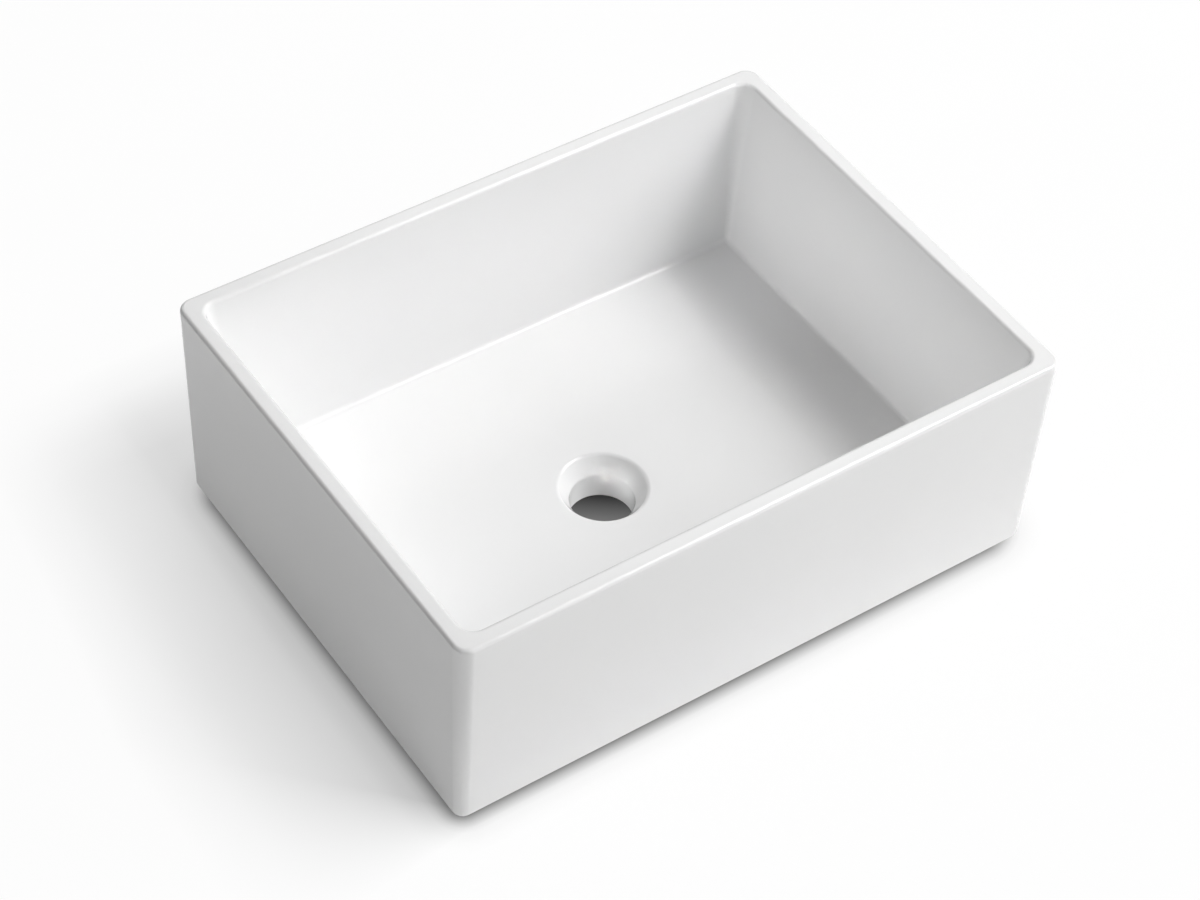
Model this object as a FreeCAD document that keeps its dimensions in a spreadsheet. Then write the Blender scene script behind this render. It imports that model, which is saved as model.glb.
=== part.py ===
import FreeCAD, Part
import os
import Sketcher

# Rectangular countertop washbasin, in millimetres.
# Origin on the surface it stands on, under the middle of the rim. X runs along the long side, Z is up.

doc = FreeCAD.newDocument("washbasin")

# Driving dimensions
SIZES = [
    ("basin_length", 460, "long side, measured over the rim"),
    ("basin_width", 345, "short side, measured over the rim"),
    ("casting_height", 167, "foot to rim"),
    ("outer_draft", 2.8, "how far each outer wall draws in from rim to foot"),
    ("outer_corner_radius", 10.5, "upright outer corners at the rim"),
    ("rim_width", 12, "flat rim, outer wall to bowl"),
    ("rim_edge_radius", 3, "both edges of the rim"),
    ("foot_edge_radius", 2.5, "outer edge of the foot"),
    ("bowl_draft", 16, "how far each bowl wall draws in from rim to floor"),
    ("bowl_corner_radius", 10.5, "upright bowl corners at the rim"),
    ("bowl_sweep_radius", 4, "sweep of the bowl walls into the floor, and the bowl corners there"),
    ("floor_height", 33.5, "foot to the floor at the drain seat's edge"),
    ("floor_fall", 1.5, "fall of the dished floor to the drain seat's edge"),
    ("dish_radius", 125, "dished part of the floor, round the drain"),
    ("floor_thickness", 12, "floor over the recessed underside"),
    ("drain_offset_x", -10.5, "drain axis from the middle, along the length"),
    ("drain_offset_y", -8, "drain axis from the middle, along the width"),
    ("seat_radius", 30.5, "conical waste seat at the floor"),
    ("seat_depth", 12.5, "conical waste seat, floor to bore"),
    ("seat_lip_radius", 4, "rounding where the floor turns into the seat"),
    ("throat_radius", 4, "rounding where the seat turns into the bore"),
    ("bore_radius", 22.5, "drain bore for a standard waste"),
    ("bore_edge_bevel", 0.25, "lower edge of the drain bore"),
    ("boss_radius", 39, "drain boss under the floor"),
    ("boss_lift", 0.25, "underside of the drain boss above the foot"),
    ("boss_edge_bevel", 2, "outer edge of the boss's underside"),
    ("boss_root_bevel", 4, "flare where the boss meets the recess roof"),
    ("foot_width", 17, "foot ring, outer wall to recess"),
    ("recess_corner_radius", 30, "upright corners of the recessed underside"),
    ("recess_draft", 2, "how far each recess wall draws in from foot to roof"),
    ("recess_root_bevel", 2.5, "flare between the recess walls and roof"),
    ("recess_edge_bevel", 1.5, "inner edge of the foot ring"),
    ("pad_radius", 9, "soft pad"),
    ("pad_inset", 14, "pad centre from the foot's two outer sides"),
    ("pad_seat_depth", 1.5, "recess in the foot that takes a pad"),
    ("pad_clearance", 0.3, "side gap between a pad and its recess"),
    ("pad_stand", 1, "how far a pad stands out below the foot"),
    ("pad_edge_bevel", 0.4, "lower edge of a pad"),
    ("cut_overrun", 5, "how far cutting shapes run past the surface they open"),
    ("edge_match", 0.02, "how close an edge or face lies to the height it is looked up by"),
]

dims = doc.addObject("Spreadsheet::Sheet", "dims")
for row, (alias, size, meaning) in enumerate(SIZES, start=1):
    dims.set(f"A{row}", meaning)
    dims.set(f"B{row}", str(size))
    dims.setAlias(f"B{row}", alias)
doc.recompute()

# Heights and half sizes worked out from them
FOOT = "dims.pad_stand"
RIM = f"({FOOT} + dims.casting_height)"
FLOOR = f"({FOOT} + dims.floor_height)"
FLOOR_EDGE = f"({FLOOR} + dims.floor_fall)"
ROOF = f"({FLOOR} - dims.floor_thickness)"
BOSS = f"({FOOT} + dims.boss_lift)"
BOWL_DEPTH = "(dims.casting_height - dims.floor_height - dims.floor_fall)"
HALF_LENGTH = "(dims.basin_length / 2)"
HALF_WIDTH = "(dims.basin_width / 2)"
FOOT_HALF_LENGTH = f"({HALF_LENGTH} - dims.outer_draft)"
FOOT_HALF_WIDTH = f"({HALF_WIDTH} - dims.outer_draft)"
PAD_X = f"({FOOT_HALF_LENGTH} - dims.pad_inset)"
PAD_Y = f"({FOOT_HALF_WIDTH} - dims.pad_inset)"
ORIGIN_POINT = (-1, 1)


def measure(expression):
    """The value of an expression in the driving dimensions."""
    return float(dims.evalExpression(expression))


def new_body(label):
    body = doc.addObject("PartDesign::Body", label)
    body.Label = label
    return body


def origin_plane(body, role):
    return next(feature for feature in body.Origin.OriginFeatures if feature.Role == role)


def new_sketch(body, name, role, offsets):
    """A sketch on one of the body's own origin planes, moved by expressions along the sketch's axes."""
    sketch = body.newObject("Sketcher::SketchObject", name)
    sketch.AttachmentSupport = [(origin_plane(body, role), "")]
    sketch.MapMode = "FlatFace"
    for axis, expression in offsets.items():
        sketch.setExpression(f"AttachmentOffset.Base.{axis}", expression)
    return sketch


def constrain(sketch, name, expression, kind, *elements):
    """A named driving constraint that follows an expression."""
    index = sketch.addConstraint(Sketcher.Constraint(kind, *elements, measure(expression)))
    sketch.renameConstraint(index, name)
    sketch.setExpression(f"Constraints.{name}", expression)


def rounded_rectangle(sketch, half_x, half_y, radius):
    """Four sides and four equal corner arcs, centred on the sketch's origin, anticlockwise."""
    x, y, r = measure(half_x), measure(half_y), measure(radius)
    vector = FreeCAD.Vector
    corners = [(x - r, r - y), (x - r, y - r), (r - x, y - r), (r - x, r - y)]
    turns = [(0, -1), (1, 0), (0, 1), (-1, 0)]
    sides = []
    arcs = []
    for place in range(4):
        out_x, out_y = turns[place]
        before = corners[place - 1]
        here = corners[place]
        start = vector(before[0] + out_x * r, before[1] + out_y * r)
        end = vector(here[0] + out_x * r, here[1] + out_y * r)
        sides.append(sketch.addGeometry(Part.LineSegment(start, end)))
        next_x, next_y = turns[(place + 1) % 4]
        middle_x, middle_y = (out_x + next_x) / 2 ** 0.5, (out_y + next_y) / 2 ** 0.5
        middle = vector(here[0] + middle_x * r, here[1] + middle_y * r)
        last = vector(here[0] + next_x * r, here[1] + next_y * r)
        arcs.append(sketch.addGeometry(Part.Arc(end, middle, last)))
    for place in range(4):
        sketch.addConstraint(Sketcher.Constraint("Tangent", sides[place], 2, arcs[place], 1))
        sketch.addConstraint(Sketcher.Constraint("Tangent", arcs[place], 2, sides[(place + 1) % 4], 1))
    lower, right, upper, left = sides
    for side in (lower, upper):
        sketch.addConstraint(Sketcher.Constraint("Horizontal", side))
    for side in (right, left):
        sketch.addConstraint(Sketcher.Constraint("Vertical", side))
    for arc in arcs[1:]:
        sketch.addConstraint(Sketcher.Constraint("Equal", arcs[0], arc))
    constrain(sketch, "corner", radius, "Radius", arcs[0])
    constrain(sketch, "right", half_x, "DistanceX", *ORIGIN_POINT, right, 1)
    constrain(sketch, "left", half_x, "DistanceX", left, 1, *ORIGIN_POINT)
    constrain(sketch, "upper", half_y, "DistanceY", *ORIGIN_POINT, upper, 1)
    constrain(sketch, "lower", half_y, "DistanceY", lower, 1, *ORIGIN_POINT)


def polygon(sketch, points):
    """A closed outline through pairs of expressions; a point at "0" across stays on the upright axis."""
    places = [FreeCAD.Vector(measure(across), measure(up)) for across, up in points]
    sides = []
    for place, start in enumerate(places):
        end = places[(place + 1) % len(places)]
        sides.append(sketch.addGeometry(Part.LineSegment(start, end)))
    for place, (across, up) in enumerate(points):
        sketch.addConstraint(Sketcher.Constraint("Coincident", sides[place - 1], 2, sides[place], 1))
        if across == "0":
            sketch.addConstraint(Sketcher.Constraint("Vertical", *ORIGIN_POINT, sides[place], 1))
        else:
            constrain(sketch, f"across_{place}", across, "DistanceX", *ORIGIN_POINT, sides[place], 1)
        constrain(sketch, f"up_{place}", up, "DistanceY", *ORIGIN_POINT, sides[place], 1)


def circle(sketch, name, across, up, radius):
    """A circle; a centre at "0", "0" sits on the sketch's origin."""
    centre = FreeCAD.Vector(measure(across), measure(up))
    ring = sketch.addGeometry(Part.Circle(centre, FreeCAD.Vector(0, 0, 1), measure(radius)))
    constrain(sketch, f"{name}_radius", radius, "Radius", ring)
    if (across, up) == ("0", "0"):
        sketch.addConstraint(Sketcher.Constraint("Coincident", ring, 3, *ORIGIN_POINT))
    else:
        constrain(sketch, f"{name}_across", across, "DistanceX", *ORIGIN_POINT, ring, 3)
        constrain(sketch, f"{name}_up", up, "DistanceY", *ORIGIN_POINT, ring, 3)


def loft(body, kind, name, lower, upper):
    """A straight-walled loft between two sketches."""
    feature = body.newObject(kind, name)
    feature.Profile = lower
    feature.Sections = [upper]
    feature.Ruled = True
    doc.recompute()
    return feature


def turn(body, kind, name, sketch):
    """A full turn of a sketch about its own upright axis."""
    feature = body.newObject(kind, name)
    feature.Profile = sketch
    feature.ReferenceAxis = (sketch, ["V_Axis"])
    feature.Angle = 360
    doc.recompute()
    return feature


def lies_at(item, height):
    box = item.BoundBox
    near = measure("dims.edge_match")
    return abs(box.ZMin - height) < near and abs(box.ZMax - height) < near


def flat_face(shape, height):
    """The largest face of the shape that lies flat at a height."""
    level = measure(height)
    return max((face for face in shape.Faces if lies_at(face, level)), key=lambda face: face.Area)


def inner_edges(face):
    """The edges of a face's holes."""
    return [edge for wire in face.Wires if not wire.isSame(face.OuterWire) for edge in wire.Edges]


def edge_names(shape, edges):
    return [f"Edge{place}" for place, edge in enumerate(shape.Edges, start=1)
            if any(edge.isSame(wanted) for wanted in edges)]


def dress_edges(body, kind, name, edges, property_name, size):
    """Rounds or bevels edges of the body as it stands."""
    base = body.Tip
    feature = body.newObject(kind, name)
    feature.Base = (base, edge_names(base.Shape, edges))
    feature.setExpression(property_name, size)
    doc.recompute()


def round_edges(body, name, edges, radius):
    dress_edges(body, "PartDesign::Fillet", name, edges, "Radius", radius)


def bevel_edges(body, name, edges, size):
    dress_edges(body, "PartDesign::Chamfer", name, edges, "Size", size)


def ring_edges(shape, radius, height):
    """Circular edges of a radius at a height."""
    near = measure("dims.edge_match")
    level = measure(height)
    size = measure(radius)
    return [edge for edge in shape.Edges
            if lies_at(edge, level) and isinstance(edge.Curve, Part.Circle)
            and abs(edge.Curve.Radius - size) < near]


# Bowl form: the inside of the bowl as a solid, drafted walls that sweep into a level floor.
# Its upright corners start with the floor's sweep radius and open out towards the rim.
def build_bowl_form():
    mouth_height = f"({RIM} + dims.cut_overrun)"
    overrun_share = f"(dims.cut_overrun / {BOWL_DEPTH})"
    floor_inset = "(dims.rim_width + dims.bowl_draft)"
    mouth_inset = f"(dims.rim_width - dims.bowl_draft * {overrun_share})"
    walls = doc.addObject("Part::Wedge", "bowl_walls")
    upright = FreeCAD.Rotation(FreeCAD.Vector(1, 0, 0), 90)
    walls.Placement = FreeCAD.Placement(FreeCAD.Vector(), upright)
    for name, expression in {
        "Ymin": FLOOR_EDGE,
        "Xmin": f"{floor_inset} - {HALF_LENGTH}",
        "Xmax": f"{HALF_LENGTH} - {floor_inset}",
        "Zmin": f"{floor_inset} - {HALF_WIDTH}",
        "Zmax": f"{HALF_WIDTH} - {floor_inset}",
        "Ymax": mouth_height,
        "X2min": f"{mouth_inset} - {HALF_LENGTH}",
        "X2max": f"{HALF_LENGTH} - {mouth_inset}",
        "Z2min": f"{mouth_inset} - {HALF_WIDTH}",
        "Z2max": f"{HALF_WIDTH} - {mouth_inset}",
    }.items():
        walls.setExpression(name, expression)
    doc.recompute()

    sweep = measure("dims.bowl_sweep_radius")
    opening_out = f"(dims.bowl_corner_radius - dims.bowl_sweep_radius) * {overrun_share}"
    mouth_corner = measure(f"dims.bowl_corner_radius + {opening_out}")
    rounded_edges = []
    for place, edge in enumerate(walls.Shape.Edges, start=1):
        if lies_at(edge, measure(FLOOR_EDGE)):
            rounded_edges.append((place, sweep, sweep))
        elif not lies_at(edge, measure(mouth_height)):
            rises = edge.valueAt(edge.LastParameter).z > edge.valueAt(edge.FirstParameter).z
            radii = (sweep, mouth_corner) if rises else (mouth_corner, sweep)
            rounded_edges.append((place, *radii))
    swept = doc.addObject("Part::Fillet", "bowl_sweep")
    swept.Base = walls
    swept.Edges = rounded_edges
    doc.recompute()

    body = new_body("bowl_form")
    body.BaseFeature = swept
    doc.recompute()
    return body


# Casting
def build_casting(bowl_form):
    body = new_body("ceramic_basin")
    foot_outline = new_sketch(body, "foot_outline", "XY_Plane", {"z": FOOT})
    foot_corner = "dims.outer_corner_radius - dims.outer_draft"
    rounded_rectangle(foot_outline, FOOT_HALF_LENGTH, FOOT_HALF_WIDTH, foot_corner)
    rim_outline = new_sketch(body, "rim_outline", "XY_Plane", {"z": RIM})
    rounded_rectangle(rim_outline, HALF_LENGTH, HALF_WIDTH, "dims.outer_corner_radius")
    loft(body, "PartDesign::AdditiveLoft", "outer_walls", foot_outline, rim_outline)

    bowl = body.newObject("PartDesign::Boolean", "bowl")
    bowl.Type = "Cut"
    bowl.setObjects([bowl_form])
    body.Tip = bowl
    doc.recompute()

    recess_half_length = f"({FOOT_HALF_LENGTH} - dims.foot_width)"
    recess_half_width = f"({FOOT_HALF_WIDTH} - dims.foot_width)"
    recess_mouth = new_sketch(body, "recess_mouth", "XY_Plane", {"z": FOOT})
    rounded_rectangle(recess_mouth, recess_half_length, recess_half_width, "dims.recess_corner_radius")
    recess_roof = new_sketch(body, "recess_roof", "XY_Plane", {"z": ROOF})
    rounded_rectangle(recess_roof, f"{recess_half_length} - dims.recess_draft",
                      f"{recess_half_width} - dims.recess_draft",
                      "dims.recess_corner_radius - dims.recess_draft")
    loft(body, "PartDesign::SubtractiveLoft", "underside_recess", recess_mouth, recess_roof)

    boss_outline = new_sketch(body, "boss_outline", "XY_Plane", {"z": BOSS})
    circle(boss_outline, "boss", "dims.drain_offset_x", "dims.drain_offset_y", "dims.boss_radius")
    boss = body.newObject("PartDesign::Pad", "drain_boss")
    boss.Profile = boss_outline
    boss.setExpression("Length", f"{ROOF} - {BOSS} + dims.floor_thickness / 2")
    doc.recompute()

    drain_place = {"x": "dims.drain_offset_x", "z": "-dims.drain_offset_y"}
    drain_profile = new_sketch(body, "drain_profile", "XZ_Plane", drain_place)
    polygon(drain_profile, [
        ("0", f"{BOSS} - dims.cut_overrun"),
        ("dims.bore_radius", f"{BOSS} - dims.cut_overrun"),
        ("dims.bore_radius", f"{FLOOR} - dims.seat_depth"),
        ("dims.seat_radius", FLOOR),
        ("dims.dish_radius", FLOOR_EDGE),
        ("dims.dish_radius", f"{FLOOR_EDGE} + dims.cut_overrun"),
        ("0", f"{FLOOR_EDGE} + dims.cut_overrun"),
    ])
    turn(body, "PartDesign::Groove", "drain", drain_profile)

    shape = body.Tip.Shape
    round_edges(body, "seat_lip", ring_edges(shape, "dims.seat_radius", FLOOR), "dims.seat_lip_radius")
    throat = ring_edges(body.Tip.Shape, "dims.bore_radius", f"{FLOOR} - dims.seat_depth")
    round_edges(body, "drain_throat", throat, "dims.throat_radius")
    boss_outer = flat_face(body.Tip.Shape, BOSS).OuterWire.Edges
    bevel_edges(body, "boss_outer_edge", boss_outer, "dims.boss_edge_bevel")
    bore_edge = inner_edges(flat_face(body.Tip.Shape, BOSS))
    bevel_edges(body, "bore_edge", bore_edge, "dims.bore_edge_bevel")
    recess_root = flat_face(body.Tip.Shape, ROOF).OuterWire.Edges
    bevel_edges(body, "recess_root", recess_root, "dims.recess_root_bevel")
    boss_root = inner_edges(flat_face(body.Tip.Shape, ROOF))
    bevel_edges(body, "boss_root", boss_root, "dims.boss_root_bevel")
    round_edges(body, "rim_edges", flat_face(body.Tip.Shape, RIM).Edges, "dims.rim_edge_radius")
    foot_outer = flat_face(body.Tip.Shape, FOOT).OuterWire.Edges
    round_edges(body, "foot_outer_edge", foot_outer, "dims.foot_edge_radius")
    foot_inner = inner_edges(flat_face(body.Tip.Shape, FOOT))
    bevel_edges(body, "foot_inner_edge", foot_inner, "dims.recess_edge_bevel")

    pad_seats = new_sketch(body, "pad_seats", "XY_Plane", {"z": FOOT})
    seat_size = "dims.pad_radius + dims.pad_clearance"
    for name, (along, across) in PADS.items():
        circle(pad_seats, name, f"{along} * {PAD_X}", f"{across} * {PAD_Y}", seat_size)
    seats = body.newObject("PartDesign::Pocket", "pad_seat_pockets")
    seats.Profile = pad_seats
    seats.Reversed = True
    seats.setExpression("Length", "dims.pad_seat_depth")
    doc.recompute()
    return body


# Soft pads under the foot's corners
PADS = {
    "base_pad_front_left": (-1, -1),
    "base_pad_front_right": (1, -1),
    "base_pad_back_left": (-1, 1),
    "base_pad_back_right": (1, 1),
}


def build_pad(label, along, across):
    body = new_body(label)
    outline = new_sketch(body, "pad_outline", "XY_Plane", {})
    circle(outline, "pad", "0", "0", "dims.pad_radius")
    disc = body.newObject("PartDesign::Pad", "pad_disc")
    disc.Profile = outline
    disc.setExpression("Length", "dims.pad_stand + dims.pad_seat_depth")
    doc.recompute()
    bevel_edges(body, "pad_edge", flat_face(body.Tip.Shape, "0").Edges, "dims.pad_edge_bevel")
    body.setExpression("Placement.Base.x", f"{along} * {PAD_X}")
    body.setExpression("Placement.Base.y", f"{across} * {PAD_Y}")
    return body


sub_parts = [build_casting(build_bowl_form())]
sub_parts += [build_pad(label, along, across) for label, (along, across) in PADS.items()]
doc.recompute()

# Nothing is written unless every feature was made and every sub-part is a sound solid
failed = [item.Label for item in doc.Objects if {"Invalid", "Error"} & set(item.State)]
if failed:
    raise RuntimeError("failed features: " + ", ".join(failed))
for part in sub_parts:
    if part.Shape.isNull() or not part.Shape.isValid() or len(part.Shape.Solids) != 1:
        raise RuntimeError("not one sound solid: " + part.Label)

os.makedirs("parts", exist_ok=True)
for part in sub_parts:
    part.Shape.exportStep(f"parts/{part.Label}.step")
    box = part.Shape.optimalBoundingBox(False)
    extent = f"{box.XLength:.1f} x {box.YLength:.1f} x {box.ZLength:.1f} mm"
    print(part.Label, extent, f"{part.Shape.Volume:.0f} mm3")
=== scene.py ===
import math

import bpy
from mathutils import Euler, Matrix, Vector


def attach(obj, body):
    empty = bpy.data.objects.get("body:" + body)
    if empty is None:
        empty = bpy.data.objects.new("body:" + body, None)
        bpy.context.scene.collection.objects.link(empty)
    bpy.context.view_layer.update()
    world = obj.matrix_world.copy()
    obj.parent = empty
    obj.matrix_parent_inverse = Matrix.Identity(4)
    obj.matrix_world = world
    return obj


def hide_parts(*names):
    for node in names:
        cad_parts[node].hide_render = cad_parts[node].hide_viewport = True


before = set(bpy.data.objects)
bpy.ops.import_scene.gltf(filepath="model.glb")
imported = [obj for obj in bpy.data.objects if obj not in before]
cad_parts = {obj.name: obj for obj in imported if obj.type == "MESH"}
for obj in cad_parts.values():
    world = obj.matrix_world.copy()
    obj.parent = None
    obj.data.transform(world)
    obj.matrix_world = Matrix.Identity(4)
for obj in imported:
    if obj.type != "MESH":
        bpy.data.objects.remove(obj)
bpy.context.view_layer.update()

MM = 0.001

# Sizes of the basin in millimetres, the same as the solids have
LENGTH = 460
WIDTH = 345
RIM = 168
FOOT = 1
OUTER_DRAFT = 2.8
OUTER_CORNER = 10.5
RIM_WIDTH = 12
RIM_ROUNDING = 3
FOOT_ROUNDING = 2.5
BOWL_DRAFT = 16
BOWL_CORNER = 10.5
BOWL_SWEEP = 4
FLOOR_EDGE = 36
FLOOR_AT_SEAT = 34.5
DISH_RADIUS = 125
DRAIN = (-10.5, -8)
SEAT_RADIUS = 30.5
SEAT_DEPTH = 12.5
SEAT_LIP_ROUNDING = 4
THROAT_ROUNDING = 4
BORE_RADIUS = 22.5
BORE_EDGE_BEVEL = 0.25
BOSS_RADIUS = 39
BOSS_FACE = 1.25
BOSS_EDGE_BEVEL = 2
BOSS_ROOT_BEVEL = 4
RECESS_ROOF = 22.5
FOOT_WIDTH = 17
RECESS_CORNER = 30
RECESS_DRAFT = 2
RECESS_ROOT_BEVEL = 2.5
RECESS_EDGE_BEVEL = 1.5
PAD_RADIUS = 9
PAD_INSET = 14
PAD_SEAT_DEPTH = 1.5
PAD_SEAT_CLEARANCE = 0.3
PAD_EDGE_ROUNDING = 0.4

# How finely the meshes are divided, and how they are joined and smoothed
CORNER_STEPS = 10
SIDE_STEPS = 26
ROUNDING_STEPS = 9
WALL_STEPS = 6
PAD_STEPS = 48
PAD_ROUNDING_STEPS = 4
JOIN_DISTANCE = 0.01
CRISP_ANGLE = 60
NEUTRAL_WEIGHT = 50

# Places worked out from the sizes: half the foot in millimetres, and the drain's axis in metres
FOOT_HALF = [side / 2 - OUTER_DRAFT for side in (LENGTH, WIDTH)]
DRAIN_AXIS = (DRAIN[0] * MM, DRAIN[1] * MM, 0)


# Node tree building

# The two inputs and the output that a Mix node uses for each kind of value
MIX_SOCKETS = {"FLOAT": (2, 3, 0), "VECTOR": (4, 5, 1), "RGBA": (6, 7, 2)}


class Tree:
    """Adds nodes to a node tree and links them, with plain values set on the sockets."""

    def __init__(self, tree):
        self.tree = tree

    def node(self, kind, inputs=None, **settings):
        made = self.tree.nodes.new(kind)
        for name, value in settings.items():
            setattr(made, name, value)
        for socket, value in (inputs or {}).items():
            self.feed(made.inputs[socket], value)
        return made

    def feed(self, socket, value):
        if isinstance(value, bpy.types.NodeSocket):
            self.tree.links.new(value, socket)
        else:
            socket.default_value = value

    def math(self, operation, *values):
        made = self.node("ShaderNodeMath", operation=operation)
        for socket, value in zip(made.inputs, values):
            self.feed(socket, value)
        return made.outputs[0]

    def vector(self, operation, *values):
        made = self.node("ShaderNodeVectorMath", operation=operation)
        for socket, value in zip(made.inputs, values):
            self.feed(socket, value)
        return made.outputs[0]

    def scaled(self, vector, factor):
        made = self.node("ShaderNodeVectorMath", operation="SCALE")
        self.feed(made.inputs[0], vector)
        self.feed(made.inputs["Scale"], factor)
        return made.outputs[0]

    def length(self, vector):
        made = self.node("ShaderNodeVectorMath", operation="LENGTH")
        self.feed(made.inputs[0], vector)
        return made.outputs["Value"]

    def combine(self, x=0.0, y=0.0, z=0.0):
        return self.node("ShaderNodeCombineXYZ", {"X": x, "Y": y, "Z": z}).outputs[0]

    def separate(self, vector):
        return self.node("ShaderNodeSeparateXYZ", {"Vector": vector}).outputs

    def mix(self, kind, share, first, second):
        """Goes from first to second as the share goes from 0 to 1."""
        first_socket, second_socket, result = MIX_SOCKETS[kind]
        made = self.node("ShaderNodeMix", data_type=kind)
        self.feed(made.inputs[0], share)
        self.feed(made.inputs[first_socket], first)
        self.feed(made.inputs[second_socket], second)
        return made.outputs[result]


def shape_tree(name, inputs):
    """A geometry tree that takes a section and the named inputs, and gives a shape."""
    group = bpy.data.node_groups.new(name, "GeometryNodeTree")
    group.interface.new_socket("Section", in_out="INPUT", socket_type="NodeSocketGeometry")
    for label, kind in inputs:
        group.interface.new_socket(label, in_out="INPUT", socket_type=kind)
    group.interface.new_socket("Shape", in_out="OUTPUT", socket_type="NodeSocketGeometry")
    tree = Tree(group)
    given = tree.node("NodeGroupInput").outputs
    result = tree.node("NodeGroupOutput").inputs["Shape"]
    return tree, given, result


def rounded_section(tree, given):
    """Rounds the section's corners. Gives its point count and a reader of its points."""
    curve = tree.node("GeometryNodeMeshToCurve", {"Mesh": given["Section"]})
    radius = tree.node("GeometryNodeInputNamedAttribute", {"Name": "rounding"}, data_type="FLOAT")
    rounded = tree.node("GeometryNodeFilletCurve", {
        "Curve": curve.outputs[0],
        "Radius": radius.outputs["Attribute"],
        "Count": given["Rounding steps"],
    }, mode="POLY")
    curve_out = rounded.outputs[0]
    points = tree.node("GeometryNodeAttributeDomainSize", {"Geometry": curve_out}, component="CURVE")

    def read(index, name):
        """The section's position, or one of its named numbers, at each point index."""
        if name == "position":
            value = tree.node("GeometryNodeInputPosition").outputs[0]
            kind = "FLOAT_VECTOR"
        else:
            held = tree.node("GeometryNodeInputNamedAttribute", {"Name": name}, data_type="FLOAT")
            value = held.outputs["Attribute"]
            kind = "FLOAT"
        sample = tree.node("GeometryNodeSampleIndex", data_type=kind, domain="POINT")
        tree.feed(sample.inputs["Geometry"], curve_out)
        tree.feed(sample.inputs["Value"], value)
        tree.feed(sample.inputs["Index"], index)
        return sample.outputs[0]

    return points.outputs["Point Count"], read


def wrapped_grid(tree, rings, turns):
    """A grid with one row for each section point and one column for each step round, plus the closing
    ones. Gives its mesh, and the ring and step that each point belongs to."""
    columns = tree.math("ADD", turns, 1.0)
    grid = tree.node("GeometryNodeMeshGrid", {
        "Vertices X": tree.math("ADD", rings, 1.0),
        "Vertices Y": columns,
    })
    index = tree.node("GeometryNodeInputIndex").outputs[0]
    row = tree.math("FLOOR", tree.math("DIVIDE", tree.math("ADD", index, 0.5), columns))
    ring = tree.math("MODULO", row, rings)
    column = tree.math("SUBTRACT", index, tree.math("MULTIPLY", row, columns))
    step = tree.math("MODULO", column, turns)
    return grid.outputs[0], ring, step


def swept_grid(tree, mesh, position):
    """Moves the grid's points to their places and joins its closing rows and columns to the first ones."""
    swept = tree.node("GeometryNodeSetPosition", {"Geometry": mesh, "Position": position})
    closed = tree.node("GeometryNodeMergeByDistance", {
        "Geometry": swept.outputs[0],
        "Distance": JOIN_DISTANCE * MM,
    })
    return closed.outputs[0]


def on_foot_corners(tree, given, shape):
    """A copy of the shape at each of the four places where a pad sits."""
    spots = tree.node("GeometryNodeMeshGrid", {
        "Size X": given["Pad spread X"],
        "Size Y": given["Pad spread Y"],
        "Vertices X": 2,
        "Vertices Y": 2,
    })
    copies = tree.node("GeometryNodeInstanceOnPoints", {"Points": spots.outputs[0], "Instance": shape})
    return copies.outputs[0]


def finish_shape(tree, shape, material, result):
    """Smooth faces with crisp edges where two of them meet steeply, one plain mesh, and its material."""
    whole = tree.node("GeometryNodeRealizeInstances", {"Geometry": shape})
    smooth = tree.node("GeometryNodeSetShadeSmooth", {"Geometry": whole.outputs[0]}, domain="FACE")
    edge_angle = tree.node("GeometryNodeInputMeshEdgeAngle").outputs["Unsigned Angle"]
    steep = tree.node("FunctionNodeCompare", {
        "A": edge_angle,
        "B": math.radians(CRISP_ANGLE),
    }, data_type="FLOAT", operation="GREATER_THAN")
    crisp = tree.node("GeometryNodeSetShadeSmooth", {
        "Geometry": smooth.outputs[0],
        "Selection": steep.outputs[0],
        "Shade Smooth": False,
    }, domain="EDGE")
    painted = tree.node("GeometryNodeSetMaterial", {"Geometry": crisp.outputs[0], "Material": material})
    tree.feed(result, painted.outputs[0])


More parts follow.
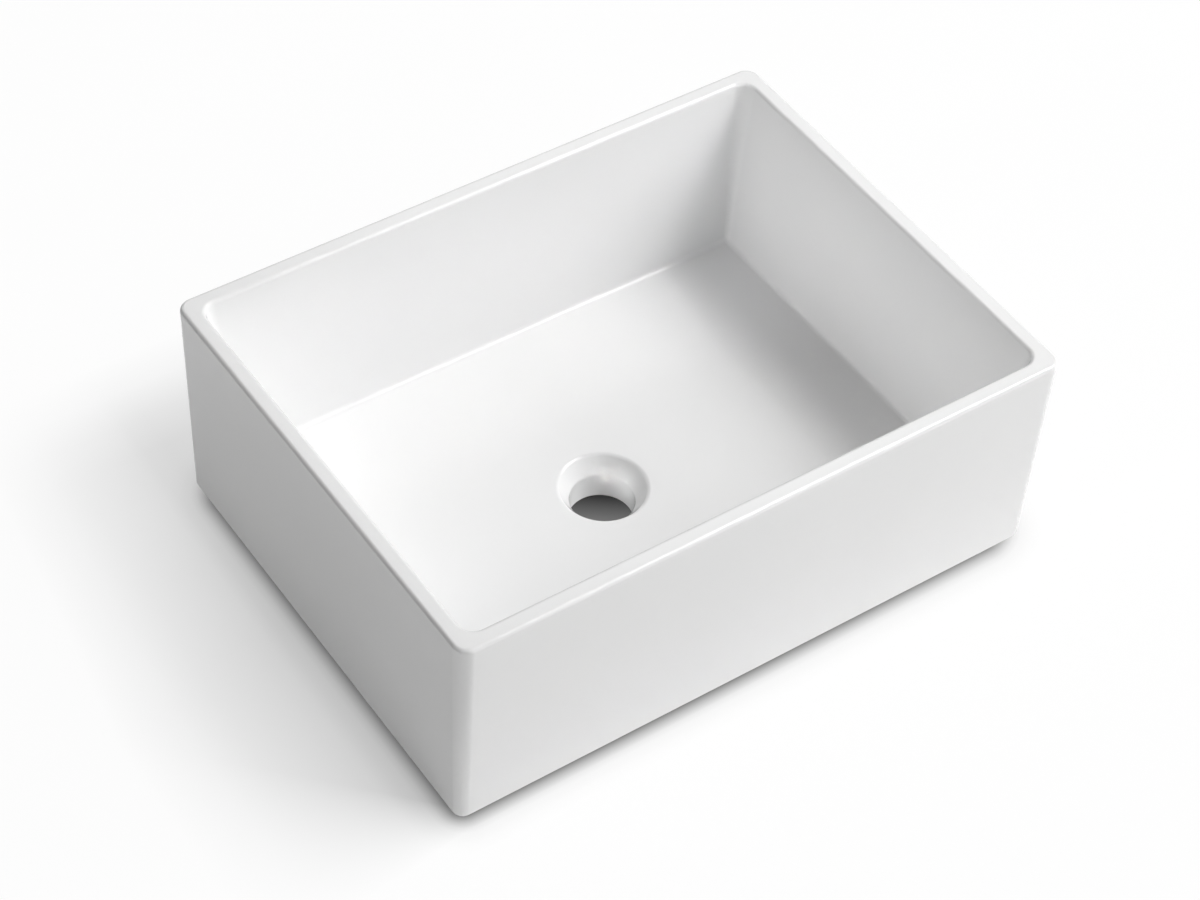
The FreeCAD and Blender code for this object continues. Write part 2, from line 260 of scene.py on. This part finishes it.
def shell_tree():
    """Sweeps the basin's half section round its rounded rectangle, and round the drain's axis near it.

    A section point lies at an inset from the outer wall. Its ring is a rounded rectangle whose corner
    centres lie at the point's corner inset, so a wall and the roundings beside it keep the same corner
    centres. A point marked as turned lies on a circle round the drain instead."""
    tree, given, result = shape_tree("basin_shell", [
        ("Length", "NodeSocketFloat"),
        ("Width", "NodeSocketFloat"),
        ("Drain", "NodeSocketVector"),
        ("Corner steps", "NodeSocketInt"),
        ("Side steps", "NodeSocketInt"),
        ("Rounding steps", "NodeSocketInt"),
        ("Pad seat radius", "NodeSocketFloat"),
        ("Pad seat depth", "NodeSocketFloat"),
        ("Pad spread X", "NodeSocketFloat"),
        ("Pad spread Y", "NodeSocketFloat"),
        ("Foot height", "NodeSocketFloat"),
        ("Glaze", "NodeSocketMaterial"),
    ])
    rings, read = rounded_section(tree, given)
    quarter_steps = tree.math("ADD", given["Corner steps"], given["Side steps"])
    turns = tree.math("MULTIPLY", quarter_steps, 4.0)
    mesh, ring, step = wrapped_grid(tree, rings, turns)

    # Where a step lies: its quarter, how far the corner has turned, and how far along the side after it
    quarter = tree.math("FLOOR", tree.math("DIVIDE", tree.math("ADD", step, 0.5), quarter_steps))
    within = tree.math("SUBTRACT", step, tree.math("MULTIPLY", quarter, quarter_steps))
    corner_share = tree.math("MINIMUM", tree.math("DIVIDE", within, given["Corner steps"]), 1.0)
    past_corner = tree.math("MAXIMUM", tree.math("SUBTRACT", within, given["Corner steps"]), 0.0)
    side_share = tree.math("DIVIDE", past_corner, given["Side steps"])

    def direction(angle):
        return tree.combine(tree.math("COSINE", angle), tree.math("SINE", angle))

    def corner_signs(number):
        eighth = tree.math("MULTIPLY_ADD", number, math.pi / 2, math.pi / 4)
        return tree.vector("SIGN", direction(eighth))

    outward = direction(tree.math("MULTIPLY", tree.math("ADD", quarter, corner_share), math.pi / 2))
    next_corner = tree.math("ADD", quarter, 1.0)
    signs = tree.mix("VECTOR", side_share, corner_signs(quarter), corner_signs(next_corner))

    # Ring on the rounded rectangle
    place = tree.separate(read(ring, "position"))
    inset = place["X"]
    height = place["Z"]
    corner_inset = read(ring, "corner_inset")
    half = tree.scaled(tree.combine(given["Length"], given["Width"]), 0.5)
    reach = tree.vector("SUBTRACT", half, tree.combine(corner_inset, corner_inset))
    corner_radius = tree.math("SUBTRACT", corner_inset, inset)
    round_part = tree.scaled(outward, corner_radius)
    on_rectangle = tree.vector("ADD", tree.vector("MULTIPLY", signs, reach), round_part)

    # Ring round the drain's axis, which lies half the length and the drain's offset from the outer wall
    drain_inset = tree.math("ADD", tree.separate(half)["X"], tree.separate(given["Drain"])["X"])
    drain_radius = tree.math("SUBTRACT", drain_inset, inset)
    half_corner = tree.math("MULTIPLY", given["Corner steps"], 0.5)
    turn_share = tree.math("DIVIDE", tree.math("SUBTRACT", step, half_corner), turns)
    turn_angle = tree.math("MULTIPLY_ADD", turn_share, 2 * math.pi, math.pi / 4)
    turned_part = tree.scaled(direction(turn_angle), drain_radius)
    on_circle = tree.vector("ADD", given["Drain"], turned_part)

    flat = tree.mix("VECTOR", read(ring, "turned"), on_rectangle, on_circle)
    closed = swept_grid(tree, mesh, tree.vector("ADD", flat, tree.combine(z=height)))

    # Shallow seats in the foot that take the pads
    cutter = tree.node("GeometryNodeMeshCylinder", {
        "Vertices": PAD_STEPS,
        "Radius": given["Pad seat radius"],
        "Depth": tree.math("MULTIPLY", given["Pad seat depth"], 2.0),
    })
    lowered = tree.node("GeometryNodeTransform", {
        "Geometry": on_foot_corners(tree, given, cutter.outputs[0]),
        "Translation": tree.combine(z=given["Foot height"]),
    })
    cutting = tree.node("GeometryNodeRealizeInstances", {"Geometry": lowered.outputs[0]})
    seated = tree.node("GeometryNodeMeshBoolean", operation="DIFFERENCE", solver="EXACT")
    tree.feed(seated.inputs["Mesh 1"], closed)
    tree.feed(seated.inputs["Mesh 2"], cutting.outputs[0])

    finish_shape(tree, seated.outputs[0], given["Glaze"], result)
    return tree.tree


def pads_tree():
    """Turns one pad's section about its own axis and sets a copy under each corner of the foot."""
    tree, given, result = shape_tree("base_pads", [
        ("Turning steps", "NodeSocketInt"),
        ("Rounding steps", "NodeSocketInt"),
        ("Pad spread X", "NodeSocketFloat"),
        ("Pad spread Y", "NodeSocketFloat"),
        ("Silicone", "NodeSocketMaterial"),
    ])
    rings, read = rounded_section(tree, given)
    mesh, ring, step = wrapped_grid(tree, rings, given["Turning steps"])
    place = tree.separate(read(ring, "position"))
    angle = tree.math("MULTIPLY", tree.math("DIVIDE", step, given["Turning steps"]), 2 * math.pi)
    across = tree.math("MULTIPLY", place["X"], tree.math("COSINE", angle))
    along = tree.math("MULTIPLY", place["X"], tree.math("SINE", angle))
    pad = swept_grid(tree, mesh, tree.combine(across, along, place["Z"]))
    finish_shape(tree, on_foot_corners(tree, given, pad), given["Silicone"], result)
    return tree.tree


def section_mesh(name, points):
    """A closed section outline; each point has its place, its rounding and any further named numbers."""
    mesh = bpy.data.meshes.new(name)
    places = [(point["across"] * MM, 0, point["up"] * MM) for point in points]
    edges = [(place, (place + 1) % len(points)) for place in range(len(points))]
    mesh.from_pydata(places, edges, [])
    for key in ("rounding", "corner_inset", "turned"):
        scale = 1 if key == "turned" else MM
        held = mesh.attributes.new(key, "FLOAT", "POINT")
        held.data.foreach_set("value", [point.get(key, 0) * scale for point in points])
    return mesh


def shape_object(name, section, tree, inputs):
    """Runs a shape tree on a section and keeps the result as a plain mesh."""
    source = bpy.data.objects.new(name + "_source", section)
    bpy.context.scene.collection.objects.link(source)
    nodes = source.modifiers.new("shape", "NODES")
    nodes.node_group = tree
    items = tree.interface.items_tree
    sockets = {item.name: item.identifier for item in items if item.in_out == "INPUT"}
    for label, value in inputs.items():
        nodes[sockets[label]] = value
    weighted = source.modifiers.new("flat_faces_first", "WEIGHTED_NORMAL")
    weighted.keep_sharp = True
    weighted.weight = NEUTRAL_WEIGHT
    evaluated = source.evaluated_get(bpy.context.evaluated_depsgraph_get())
    mesh = bpy.data.meshes.new_from_object(evaluated)
    mesh.name = name
    bpy.data.objects.remove(source)
    piece = bpy.data.objects.new(name, mesh)
    bpy.context.scene.collection.objects.link(piece)
    return piece


# Materials

# The range that most of a noise's values lie in
NOISE_LOW = 0.3
NOISE_HIGH = 0.7

# Tones run from the low end of the noise to the high end, and depths and heights are in millimetres
GLAZE_TONES = ((0.892, 0.893, 0.894), (0.907, 0.906, 0.904))
GLAZE_ROUGHNESS = (0.03, 0.055)
GLAZE_WAVE_DEPTH = 0.03
GLAZE_IOR = 1.5
WIPED_BELOW = 1.4
GLAZED_ABOVE = 1.8
WIPE_WANDER = 0.2
BODY_TONES = ((0.69, 0.66, 0.61), (0.78, 0.755, 0.71))
BODY_ROUGHNESS = 0.8
BODY_GRAIN_DEPTH = 0.15
SILICONE_TONES = ((0.58, 0.58, 0.56), (0.66, 0.66, 0.64))
SILICONE_ROUGHNESS = (0.42, 0.58)
SILICONE_SKIN_DEPTH = 0.05
SILICONE_SKIN_STRENGTH = 0.5
SILICONE_IOR = 1.41


def new_material(name):
    material = bpy.data.materials.new(name)
    material.use_nodes = True
    tree = Tree(material.node_tree)
    surface = material.node_tree.nodes["Principled BSDF"]
    place = tree.node("ShaderNodeTexCoord").outputs["Object"]
    return material, tree, surface, place


def noise(tree, place, scale, detail=2.0, roughness=0.5):
    made = tree.node("ShaderNodeTexNoise", {
        "Vector": place,
        "Scale": scale,
        "Detail": detail,
        "Roughness": roughness,
    })
    return made.outputs["Fac"]


def ramp(tree, share, stops):
    made = tree.node("ShaderNodeValToRGB", {"Fac": share})
    elements = made.color_ramp.elements
    for element, (position, colour) in zip(elements, stops):
        element.position = position
        element.color = (*colour, 1)
    for position, colour in stops[2:]:
        elements.new(position).color = (*colour, 1)
    return made.outputs["Color"]


def mapped(tree, value, from_low, from_high, to_low, to_high):
    made = tree.node("ShaderNodeMapRange", {
        "Value": value,
        "From Min": from_low,
        "From Max": from_high,
        "To Min": to_low,
        "To Max": to_high,
    })
    return made.outputs[0]


def drift(tree, pattern, low, high):
    """A number that drifts from low to high with a noise."""
    return mapped(tree, pattern, NOISE_LOW, NOISE_HIGH, low, high)


def tone_drift(tree, pattern, first, second):
    """A colour that drifts from the first tone to the second with a noise."""
    return ramp(tree, pattern, [(NOISE_LOW, first), (NOISE_HIGH, second)])


def white_glaze():
    """Glossy white sanitary glaze over a fired body, wiped off along the ground foot and the boss."""
    material, tree, surface, place = new_material("white_glaze")
    height = tree.separate(place)["Z"]

    # The wiped line wanders a little round the foot
    wander = drift(tree, noise(tree, place, scale=45, detail=3), -WIPE_WANDER * MM, WIPE_WANDER * MM)
    glazed = mapped(tree, tree.math("ADD", height, wander), WIPED_BELOW * MM, GLAZED_ABOVE * MM, 0, 1)

    # Glaze pools a little unevenly, so its white drifts between a cooler and a warmer tone
    glaze_tone = tone_drift(tree, noise(tree, place, scale=8, detail=3), *GLAZE_TONES)
    body_tone = tone_drift(tree, noise(tree, place, scale=900, detail=4, roughness=0.7), *BODY_TONES)
    tree.feed(surface.inputs["Base Color"], tree.mix("RGBA", glazed, body_tone, glaze_tone))

    glaze_gloss = drift(tree, noise(tree, place, scale=30, detail=2), *GLAZE_ROUGHNESS)
    tree.feed(surface.inputs["Roughness"], tree.mix("FLOAT", glazed, BODY_ROUGHNESS, glaze_gloss))

    # Faint waves of fired glaze, and the grain of the bare body where there is none
    waves = tree.node("ShaderNodeBump", {
        "Strength": 1.0,
        "Distance": GLAZE_WAVE_DEPTH * MM,
        "Height": noise(tree, place, scale=42, detail=1),
    })
    grain = tree.node("ShaderNodeBump", {
        "Strength": tree.math("SUBTRACT", 1.0, glazed),
        "Distance": BODY_GRAIN_DEPTH * MM,
        "Height": noise(tree, place, scale=1400, detail=3, roughness=0.6),
        "Normal": waves.outputs[0],
    })
    tree.feed(surface.inputs["Normal"], grain.outputs[0])
    surface.inputs["IOR"].default_value = GLAZE_IOR
    return material


def pad_silicone():
    """Soft grey silicone with a satin moulded skin."""
    material, tree, surface, place = new_material("pad_silicone")
    tone = tone_drift(tree, noise(tree, place, scale=160, detail=3), *SILICONE_TONES)
    tree.feed(surface.inputs["Base Color"], tone)
    satin = drift(tree, noise(tree, place, scale=600, detail=2), *SILICONE_ROUGHNESS)
    tree.feed(surface.inputs["Roughness"], satin)
    skin = tree.node("ShaderNodeBump", {
        "Strength": SILICONE_SKIN_STRENGTH,
        "Distance": SILICONE_SKIN_DEPTH * MM,
        "Height": noise(tree, place, scale=2200, detail=2),
    })
    tree.feed(surface.inputs["Normal"], skin.outputs[0])
    surface.inputs["IOR"].default_value = SILICONE_IOR
    return material


# Pieces

def basin_section():
    """The half section: down the outside, under the floor, through the drain and up the bowl."""
    bowl_lean = math.atan(BOWL_DRAFT / (RIM - FLOOR_EDGE))
    half_corner = (math.pi / 2 + bowl_lean) / 2
    floor_tangent = BOWL_SWEEP / math.tan(half_corner)
    rim_tangent = RIM_ROUNDING / math.tan(half_corner)
    bowl_floor_inset = RIM_WIDTH + BOWL_DRAFT
    rim_corner_inset = RIM_WIDTH + rim_tangent * math.sin(bowl_lean) + BOWL_CORNER
    recess_inset = OUTER_DRAFT + FOOT_WIDTH
    recess_lean = math.atan(RECESS_DRAFT / (RECESS_ROOF - FOOT))
    recess_corner_inset = recess_inset + RECESS_CORNER
    roof_inset = recess_inset + RECESS_DRAFT
    seat_bottom = FLOOR_AT_SEAT - SEAT_DEPTH

    def ring(inset, up, corner_inset, rounding=0):
        return {"across": inset, "up": up, "corner_inset": corner_inset, "rounding": rounding}

    def turned(radius, up, rounding=0):
        return {"across": LENGTH / 2 + DRAIN[0] - radius, "up": up, "turned": 1, "rounding": rounding}

    def recess_wall(above_foot):
        """A ring on the leaning recess wall, that far up from the foot along the wall."""
        inset = recess_inset + above_foot * math.sin(recess_lean)
        return ring(inset, FOOT + above_foot * math.cos(recess_lean), recess_corner_inset)

    def bowl_wall(share):
        """A ring part of the way up the bowl; its corners open out slowly, faster, then slowly again."""
        inset = bowl_floor_inset - BOWL_DRAFT * share
        opened = share * share * (3 - 2 * share)
        corner = BOWL_SWEEP + (BOWL_CORNER - BOWL_SWEEP) * opened
        return ring(inset, FLOOR_EDGE + (RIM - FLOOR_EDGE) * share, inset + corner)

    return [
        ring(0, RIM, OUTER_CORNER, RIM_ROUNDING),
        ring(OUTER_DRAFT, FOOT, OUTER_CORNER, FOOT_ROUNDING),
        ring(recess_inset - RECESS_EDGE_BEVEL, FOOT, recess_corner_inset),
        recess_wall(RECESS_EDGE_BEVEL),
        recess_wall(math.hypot(RECESS_ROOF - FOOT, RECESS_DRAFT) - RECESS_ROOT_BEVEL),
        ring(roof_inset + RECESS_ROOT_BEVEL, RECESS_ROOF, recess_corner_inset),
        turned(BOSS_RADIUS + BOSS_ROOT_BEVEL, RECESS_ROOF),
        turned(BOSS_RADIUS, RECESS_ROOF - BOSS_ROOT_BEVEL),
        turned(BOSS_RADIUS, BOSS_FACE + BOSS_EDGE_BEVEL),
        turned(BOSS_RADIUS - BOSS_EDGE_BEVEL, BOSS_FACE),
        turned(BORE_RADIUS + BORE_EDGE_BEVEL, BOSS_FACE),
        turned(BORE_RADIUS, BOSS_FACE + BORE_EDGE_BEVEL),
        turned(BORE_RADIUS, seat_bottom, THROAT_ROUNDING),
        turned(SEAT_RADIUS, FLOOR_AT_SEAT, SEAT_LIP_ROUNDING),
        turned(DISH_RADIUS, FLOOR_EDGE),
        ring(bowl_floor_inset, FLOOR_EDGE, bowl_floor_inset + floor_tangent, BOWL_SWEEP),
        *[bowl_wall(step / WALL_STEPS) for step in range(1, WALL_STEPS)],
        ring(RIM_WIDTH, RIM, rim_corner_inset, RIM_ROUNDING),
    ]


def pad_section():
    """Half a pad, from its axis round its rounded lower edge to its top."""
    top = FOOT + PAD_SEAT_DEPTH
    return [
        {"across": 0, "up": 0},
        {"across": PAD_RADIUS, "up": 0, "rounding": PAD_EDGE_ROUNDING},
        {"across": PAD_RADIUS, "up": top, "rounding": PAD_EDGE_ROUNDING / 2},
        {"across": 0, "up": top},
    ]


pad_spread = [side - 2 * (OUTER_DRAFT + PAD_INSET) for side in (LENGTH, WIDTH)]
shell = shape_object("glazed_basin", section_mesh("basin_section", basin_section()), shell_tree(), {
    "Length": LENGTH * MM,
    "Width": WIDTH * MM,
    "Drain": DRAIN_AXIS,
    "Corner steps": CORNER_STEPS,
    "Side steps": SIDE_STEPS,
    "Rounding steps": ROUNDING_STEPS,
    "Pad seat radius": (PAD_RADIUS + PAD_SEAT_CLEARANCE) * MM,
    "Pad seat depth": PAD_SEAT_DEPTH * MM,
    "Pad spread X": pad_spread[0] * MM,
    "Pad spread Y": pad_spread[1] * MM,
    "Foot height": FOOT * MM,
    "Glaze": white_glaze(),
})
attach(shell, "root")
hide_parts("ceramic_basin")

pads = shape_object("corner_pads", section_mesh("pad_section", pad_section()), pads_tree(), {
    "Turning steps": PAD_STEPS,
    "Rounding steps": PAD_ROUNDING_STEPS,
    "Pad spread X": pad_spread[0] * MM,
    "Pad spread Y": pad_spread[1] * MM,
    "Silicone": pad_silicone(),
})
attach(pads, "root")
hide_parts("base_pad_front_left", "base_pad_front_right",
            "base_pad_back_left", "base_pad_back_right")


# Studio floor

FLOOR_HALF = 8
FLOOR_GLOW = 0.94
FLOOR_SEEN_TONE = 0.06
FLOOR_BOUNCE_TONE = 0.9

# Painted contact shadow, a dark line beside the foot, in millimetres, with its tones from just under the
# foot outwards
CONTACT_UNDER = 3
CONTACT_REACH = 27
CONTACT_CORNER = 10
CONTACT_THINNING = 20
CONTACT_SHADOW_TONES = [
    (0, 0.12), (0.1, 0.37), (0.2, 0.57), (0.27, 0.69),
    (0.37, 0.84), (0.5, 0.93), (0.77, 0.98), (1, 1),
]

# Wide shadow to the left, in millimetres, with its depth from the basin outwards and towards the back
SHADOW_REACH = 150
SHADOW_FRONT = -166
SHADOW_BACK = 300
SHADOW_RIGHT = 200
SHADOW_EDGE_BLUR = 12
SHADOW_DEPTHS = [
    (0, 0.43), (0.13, 0.39), (0.2, 0.335), (0.3, 0.285),
    (0.53, 0.19), (0.73, 0.09), (0.93, 0.025), (1, 0),
]
SHADOW_BACK_SHARES = [
    (0.08, 1), (0.33, 0.9), (0.5, 0.78), (0.7, 0.65),
    (0.8, 0.45), (0.9, 0.15), (1, 0),
]

# For each millimetre to the left the shadow slants back and blurs by these shares of it
SHADOW_SLANT = 0.45
SHADOW_BLUR = 0.6

# For each metre towards the back the shadow falls off faster by this share
SHADOW_SHORTENING = 1.2

# Painted shade on the floor that shows through the drain, in millimetres from its axis
DRAIN_SHADE_WAY = (0.6, 0.8, 0)
DRAIN_SHADE_START = 1
DRAIN_SHADE_END = 22
DRAIN_SHADE_TONES = (0.165, 0.035)
DRAIN_FLOOR_RADIUS = 45
OPEN_FLOOR_RADIUS = 57


def seen_ray(tree):
    """1 for rays that show the background: straight from the camera, mirrored or through glass."""
    path = tree.node("ShaderNodeLightPath").outputs
    either = tree.math("MAXIMUM", path["Is Camera Ray"], path["Is Glossy Ray"])
    return tree.math("MAXIMUM", either, path["Is Transmission Ray"])


def greys(stops):
    return [(position, (grey, grey, grey)) for position, grey in stops]


def painted_contact_shadow(tree, place):
    """Painted contact shadow right beside the foot, 1 clear of it. It thins out at the corners to the left
    back and right front, where light comes in from both sides."""
    across = tree.separate(place)
    thin = tree.math("LESS_THAN", tree.math("MULTIPLY", across["X"], across["Y"]), 0.0)
    corner = tree.math("MULTIPLY_ADD", thin, CONTACT_THINNING * MM, CONTACT_CORNER * MM)
    foot = (FOOT_HALF[0] * MM, FOOT_HALF[1] * MM, 0)
    past_foot = tree.vector("SUBTRACT", tree.vector("ABSOLUTE", place), foot)
    past_corner = tree.vector("ADD", past_foot, tree.combine(corner, corner))
    outside = tree.vector("MAXIMUM", past_corner, (0, 0, 0))
    gap = tree.math("SUBTRACT", tree.length(outside), corner)
    gap_share = mapped(tree, gap, -CONTACT_UNDER * MM, CONTACT_REACH * MM, 0, 1)
    return ramp(tree, gap_share, greys(CONTACT_SHADOW_TONES))


def soft_shadow(tree, place):
    """The basin's wide shadow as drawn on the floor, 1 where the floor is lit. It falls to the left,
    slants back as it goes, blurs with its length and runs out behind the basin."""
    across = tree.separate(place)
    away = tree.math("MAXIMUM", tree.math("MULTIPLY_ADD", across["X"], -1.0, -FOOT_HALF[0] * MM), 0.0)
    behind = tree.math("MAXIMUM", across["Y"], 0.0)
    shortened = tree.math("MULTIPLY_ADD", behind, SHADOW_SHORTENING, 1.0)
    length_share = mapped(tree, tree.math("MULTIPLY", away, shortened), 0, SHADOW_REACH * MM, 0, 1)
    depth = ramp(tree, length_share, greys(SHADOW_DEPTHS))

    along = tree.math("MULTIPLY_ADD", away, -SHADOW_SLANT, across["Y"])
    blur = tree.math("MULTIPLY_ADD", away, SHADOW_BLUR, SHADOW_EDGE_BLUR * MM)
    blur_start = tree.math("SUBTRACT", SHADOW_FRONT * MM, blur)
    blur_end = tree.math("ADD", SHADOW_FRONT * MM, blur)
    front_end = mapped(tree, along, blur_start, blur_end, 0, 1)
    back_share = mapped(tree, across["Y"], 0, SHADOW_BACK * MM, 0, 1)
    back_end = ramp(tree, back_share, greys(SHADOW_BACK_SHARES))
    right_end = mapped(tree, across["X"], 0, SHADOW_RIGHT * MM, 1, 0)
    ends = tree.math("MULTIPLY", tree.math("MULTIPLY", front_end, back_end), right_end)
    return tree.math("MULTIPLY_ADD", tree.math("MULTIPLY", depth, ends), -1.0, 1.0)


def pale_floor():
    """White floor with the basin's wide shadow and contact shadow painted on it, and a little of the shade
    that the lamps cast. Where it shows through the drain it has painted shade, grey and darker towards the
    back."""
    material = bpy.data.materials.new("pale_floor")
    material.use_nodes = True
    tree = Tree(material.node_tree)
    material.node_tree.nodes.clear()
    place = tree.node("ShaderNodeTexCoord").outputs["Object"]
    seen = seen_ray(tree)
    mirrored = tree.node("ShaderNodeLightPath").outputs["Is Glossy Ray"]
    # The floor's glow carries the painted contact shadow beside the foot, which reflections don't see, and
    # the painted wide shadow
    contact = tree.math("MAXIMUM", painted_contact_shadow(tree, place), mirrored)
    lift = tree.math("MULTIPLY", contact, soft_shadow(tree, place))

    # Painted shade on the floor seen through the drain, darker towards the back
    from_drain = tree.vector("SUBTRACT", place, DRAIN_AXIS)
    shade_way = tree.separate(tree.vector("MULTIPLY", from_drain, DRAIN_SHADE_WAY))
    shade_depth = tree.math("ADD", shade_way["X"], shade_way["Y"])
    painted_drain_shade = mapped(tree, shade_depth, DRAIN_SHADE_START * MM, DRAIN_SHADE_END * MM, *DRAIN_SHADE_TONES)
    drain_gap = tree.length(from_drain)
    clear_of_drain = mapped(tree, drain_gap, DRAIN_FLOOR_RADIUS * MM, OPEN_FLOOR_RADIUS * MM, 0, 1)
    # Seen rays get the white glow, dimmed by the painted shadows, and the painted shade through the drain
    open_floor = tree.math("MULTIPLY", lift, FLOOR_GLOW)
    shown = tree.mix("FLOAT", clear_of_drain, painted_drain_shade, open_floor)
    seen_tone = tree.math("MULTIPLY", clear_of_drain, FLOOR_SEEN_TONE)
    tone = tree.mix("FLOAT", seen, FLOOR_BOUNCE_TONE, seen_tone)

    matt = tree.node("ShaderNodeBsdfDiffuse", {"Color": tone})
    glow = tree.node("ShaderNodeEmission", {"Strength": tree.math("MULTIPLY", seen, shown)})
    both = tree.node("ShaderNodeAddShader")
    tree.feed(both.inputs[0], matt.outputs[0])
    tree.feed(both.inputs[1], glow.outputs[0])
    output = tree.node("ShaderNodeOutputMaterial")
    tree.feed(output.inputs["Surface"], both.outputs[0])
    return material


floor_corners = [(x * FLOOR_HALF, y * FLOOR_HALF, 0) for x, y in ((-1, -1), (1, -1), (1, 1), (-1, 1))]
floor_mesh = bpy.data.meshes.new("floor")
floor_mesh.from_pydata(floor_corners, [], [(0, 1, 2, 3)])
floor_mesh.materials.append(pale_floor())
floor = bpy.data.objects.new("floor", floor_mesh)
bpy.context.scene.collection.objects.link(floor)


# Studio light

WORLD_STRENGTH = 0.01
STUDIO_DISTANCE = 5
BEAM_DISTANCE = 1.6
OPEN_SPREAD = 180
BEAM_SPREAD = 14
SPOT_SPREAD = 1
SPOT_SIZE = (0.012, 0.012)

# Places that the lamps aim at, in metres
BASIN_MIDDLE = (0, 0, 0.08)
RIGHT_BOWL_WALL = (0.21, 0, 0.11)
BACK_BOWL_WALL = (0, 0.155, 0.11)
LEFT_FOOT = (-0.228, 0, -0.01)
FRONT_FOOT = (0, -0.17, -0.01)
DRAIN_RIGHT = (0.0072, -0.0049, 0.022)
DRAIN_BACK = (0.0022, 0.0047, 0.022)

world = bpy.data.worlds.new("studio")
world.use_nodes = True
bpy.context.scene.world = world
around = world.node_tree.nodes["Background"]
around.inputs["Color"].default_value = (1, 1, 1, 1)
around.inputs["Strength"].default_value = WORLD_STRENGTH


def area_lamp(name, azimuth, elevation, size, strength, aim, distance, spread):
    """A lamp that faces its aim. Azimuth 0 is in front of the long side and 90 to the right."""
    lamp = bpy.data.lights.new(name, "AREA")
    lamp.shape = "RECTANGLE"
    lamp.size = size[0]
    lamp.size_y = size[1]
    lamp.energy = strength
    lamp.spread = math.radians(spread)
    box = bpy.data.objects.new(name, lamp)
    bpy.context.scene.collection.objects.link(box)
    turn = math.radians(azimuth)
    rise = math.radians(elevation)
    away = Vector((math.sin(turn) * math.cos(rise), -math.cos(turn) * math.cos(rise), math.sin(rise)))
    box.location = Vector(aim) + away * distance
    box.rotation_mode = "QUATERNION"
    box.rotation_quaternion = away.to_track_quat("Z", "Y")


def softbox(name, azimuth, elevation, size, strength):
    """A wide lamp that lights the whole basin."""
    area_lamp(name, azimuth, elevation, size, strength, BASIN_MIDDLE, STUDIO_DISTANCE, OPEN_SPREAD)


def beam(name, azimuth, elevation, size, strength, aim, spread=BEAM_SPREAD):
    """A faint lamp close by, with a grid that keeps its light on one place."""
    area_lamp(name, azimuth, elevation, size, strength, aim, BEAM_DISTANCE, spread)


softbox("high_key", azimuth=66, elevation=52, size=(2.3, 2.0), strength=143)
softbox("low_key", azimuth=70, elevation=32, size=(2.3, 1.4), strength=58)
softbox("front_key", azimuth=32, elevation=42, size=(1.2, 1.2), strength=32)
softbox("front_fill", azimuth=0, elevation=12, size=(1.4, 1.2), strength=19.5)
softbox("left_fill", azimuth=-74, elevation=31, size=(2.2, 2.2), strength=12)
softbox("back_left_fill", azimuth=-165, elevation=27, size=(1.6, 1.4), strength=21)
softbox("back_glow", azimuth=143, elevation=47, size=(3.0, 3.0), strength=31.5)
beam("right_wall_beam", azimuth=-88, elevation=24, size=(0.5, 0.12), strength=0.088, aim=RIGHT_BOWL_WALL)
beam("back_wall_beam", azimuth=0, elevation=30, size=(0.6, 0.12), strength=0.047, aim=BACK_BOWL_WALL)
beam("left_foot_beam", azimuth=-90, elevation=4, size=(0.5, 0.04), strength=0.04, aim=LEFT_FOOT)
beam("front_foot_beam", azimuth=5, elevation=4, size=(0.7, 0.04), strength=0.034, aim=FRONT_FOOT)
beam("drain_right_beam", azimuth=-80, elevation=40, size=SPOT_SIZE, strength=0.0003,
     aim=DRAIN_RIGHT, spread=SPOT_SPREAD)
beam("drain_back_beam", azimuth=-45, elevation=42, size=SPOT_SIZE, strength=0.0002,
     aim=DRAIN_BACK, spread=SPOT_SPREAD)


# Camera

CAMERA_AIM = Vector((-21.13, -15.91, 84)) * MM
CAMERA_DISTANCE = 2031.7 * MM
CAMERA_AZIMUTH = -37.0
CAMERA_ELEVATION = 46.94
CAMERA_ROLL = 3.90
CAMERA_SENSOR = 36
CAMERA_LENS = 92.63
CAMERA_FAR = 50

camera = bpy.data.objects.new("camera", bpy.data.cameras.new("camera"))
bpy.context.scene.collection.objects.link(camera)
camera.data.sensor_width = CAMERA_SENSOR
camera.data.lens = CAMERA_LENS
camera.data.clip_end = CAMERA_FAR
tilt = math.radians(90 - CAMERA_ELEVATION)
level = Euler((tilt, 0, math.radians(CAMERA_AZIMUTH)), "XYZ").to_matrix()
rolled = level @ Matrix.Rotation(math.radians(CAMERA_ROLL), 3, "Z")
stand = CAMERA_AIM + rolled.col[2] * CAMERA_DISTANCE
camera.matrix_world = Matrix.Translation(stand) @ rolled.to_4x4()
bpy.context.scene.camera = camera
bpy.context.scene.view_settings.view_transform = "Standard"
